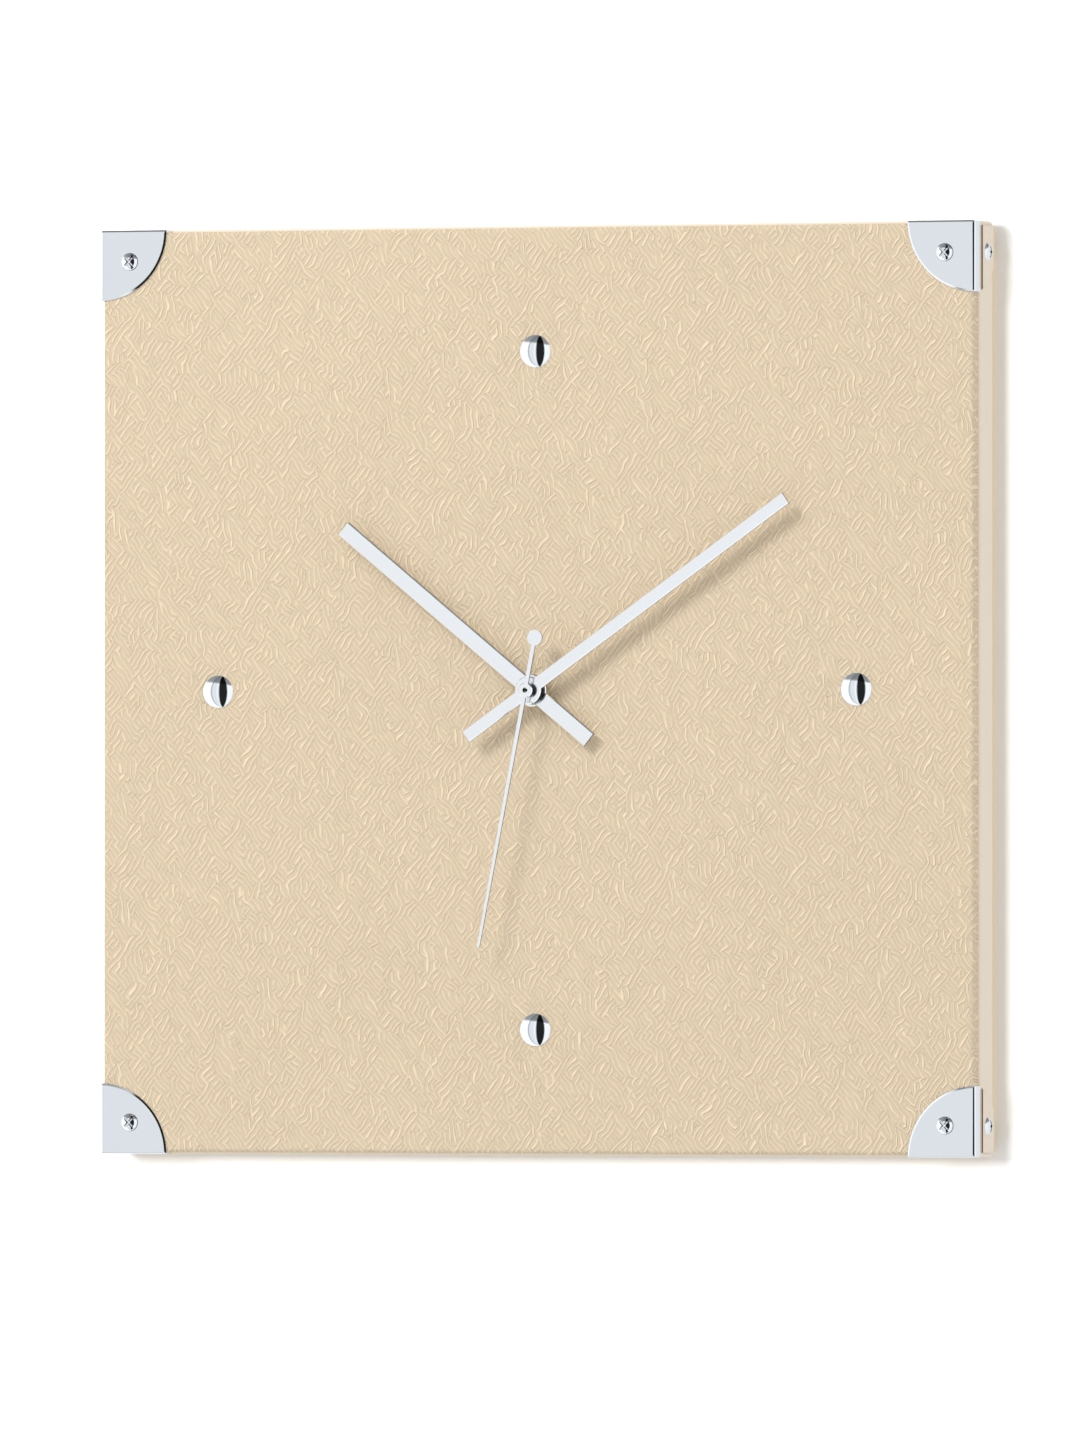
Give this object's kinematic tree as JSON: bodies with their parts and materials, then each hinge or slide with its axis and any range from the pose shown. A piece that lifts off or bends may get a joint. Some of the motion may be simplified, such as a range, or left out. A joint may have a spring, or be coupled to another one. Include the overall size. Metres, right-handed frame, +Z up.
{
  "type": "wall clock",
  "caption": "Square wall clock with a leatherette-wrapped dial, chromed corner caps, dome hour studs, baton hands and a battery quartz movement that turns through its gear train.",
  "frame": {"origin": "the dial axis where it meets the wall behind the clock", "axes": "+Z up, +X to the right seen from the front, the dial faces -Y and +Y points into the wall"},
  "size_m": [0.3052, 0.0335, 0.3016],
  "materials": {
    "board": "raw fibreboard and softwood",
    "leatherette": "embossed, satin",
    "band": "smooth, satin",
    "edge": "smooth, satin",
    "hardboard": "pressed, matte",
    "felt": "felt",
    "chrome": "polished",
    "zinc": "zinc plated",
    "case_plastic": "moulded, fine texture",
    "cover_plastic": "moulded, fine texture",
    "brass": "turned",
    "gear_plastic": "moulded acetal",
    "hands": "satin silver",
    "magnet": "sintered",
    "knob_plastic": "moulded",
    "plate_plastic": "moulded",
    "motor_iron": "stamped",
    "copper": "enamelled wire",
    "circuit": "solder mask",
    "crystal_can": "drawn",
    "chip_resin": "potting resin",
    "cell": "plain painted can",
    "contact": "nickel plated"
  },
  "bodies": {
    "case": {"face_board": "board", "face_cover": "leatherette", "left_stile": "board", "right_stile": "board", "top_rail": "board", "bottom_rail": "board", "side_band": "band", "rear_frame": "edge", "rear_panel": "hardboard", "wall_pads": "felt", "corner_cap_top_left": "chrome", "corner_cap_top_right": "chrome", "corner_cap_bottom_left": "chrome", "corner_cap_bottom_right": "chrome", "cap_screws": "chrome", "side_screws": "chrome", "panel_screws": "zinc", "hour_stud_12": "chrome", "hour_stud_3": "chrome", "hour_stud_6": "chrome", "hour_stud_9": "chrome", "stud_washers": "zinc", "hanger_plate": "zinc", "hanger_rivets": "zinc", "movement_case": "case_plastic", "movement_cover": "cover_plastic", "centre_bushing": "brass", "movement_screws": "zinc", "mid_plate": "plate_plastic", "train_bridge": "plate_plastic", "bridge_screws": "zinc", "stator": "motor_iron", "coil_core": "motor_iron", "coil_bobbin": "plate_plastic", "coil_winding": "copper", "circuit_board": "circuit", "quartz_crystal": "crystal_can", "driver_chip": "chip_resin", "battery": "cell", "battery_spring": "contact", "battery_contact": "contact"},
    "seconds": {"second_hand": "hands", "seconds_arbor": "zinc", "seconds_wheel": "gear_plastic"},
    "minutes": {"minute_hand": "hands", "minute_arbor": "brass"},
    "hours": {"hour_hand": "hands", "hour_wheel": "gear_plastic"},
    "centre": {"centre_wheel": "gear_plastic"},
    "third": {"third_wheel": "gear_plastic"},
    "intermediate": {"intermediate_wheel": "gear_plastic"},
    "rotor": {"rotor_pinion": "gear_plastic", "rotor_magnet": "magnet"},
    "motion": {"motion_wheel": "gear_plastic"},
    "setter": {"set_pinion": "gear_plastic", "set_knob": "knob_plastic"}
  },
  "joints": [
    {"name": "second_hand_spin", "type": "hinge", "parent": "case", "child": "seconds", "pos_m": [0, 0, 0], "axis": [0, 1, 0], "continuous": true},
    {"name": "minute_hand_spin", "type": "hinge", "parent": "case", "child": "minutes", "pos_m": [0, 0, 0], "axis": [0, 1, 0], "continuous": true},
    {"name": "hour_hand_spin", "type": "hinge", "parent": "case", "child": "hours", "pos_m": [0, 0, 0], "axis": [0, 1, 0], "continuous": true},
    {"name": "centre_wheel_spin", "type": "hinge", "parent": "case", "child": "centre", "pos_m": [0, 0, 0], "axis": [0, 1, 0], "continuous": true},
    {"name": "third_wheel_spin", "type": "hinge", "parent": "case", "child": "third", "pos_m": [-0.00779, 0, 0.0045], "axis": [0, 1, 0], "continuous": true},
    {"name": "intermediate_wheel_spin", "type": "hinge", "parent": "case", "child": "intermediate", "pos_m": [0.00125, 0, 0.00709], "axis": [0, 1, 0], "continuous": true},
    {"name": "rotor_spin", "type": "hinge", "parent": "case", "child": "rotor", "pos_m": [0.00475, 0, 0.01315], "axis": [0, 1, 0], "continuous": true},
    {"name": "motion_wheel_spin", "type": "hinge", "parent": "case", "child": "motion", "pos_m": [0.00831, 0, 0.0048], "axis": [0, 1, 0], "continuous": true},
    {"name": "set_knob_spin", "type": "hinge", "parent": "case", "child": "setter", "pos_m": [0.01733, 0, 0.00808], "axis": [0, 1, 0], "continuous": true}
  ],
  "couplings": [
    {"joint": "third_wheel_spin", "follows": "second_hand_spin", "ratio": -0.125},
    {"joint": "centre_wheel_spin", "follows": "second_hand_spin", "ratio": 0.016667},
    {"joint": "intermediate_wheel_spin", "follows": "second_hand_spin", "ratio": -5},
    {"joint": "rotor_spin", "follows": "second_hand_spin", "ratio": 30},
    {"joint": "motion_wheel_spin", "follows": "minute_hand_spin", "ratio": -0.33333},
    {"joint": "hour_hand_spin", "follows": "minute_hand_spin", "ratio": 0.083333},
    {"joint": "set_knob_spin", "follows": "minute_hand_spin", "ratio": 1}
  ]
}
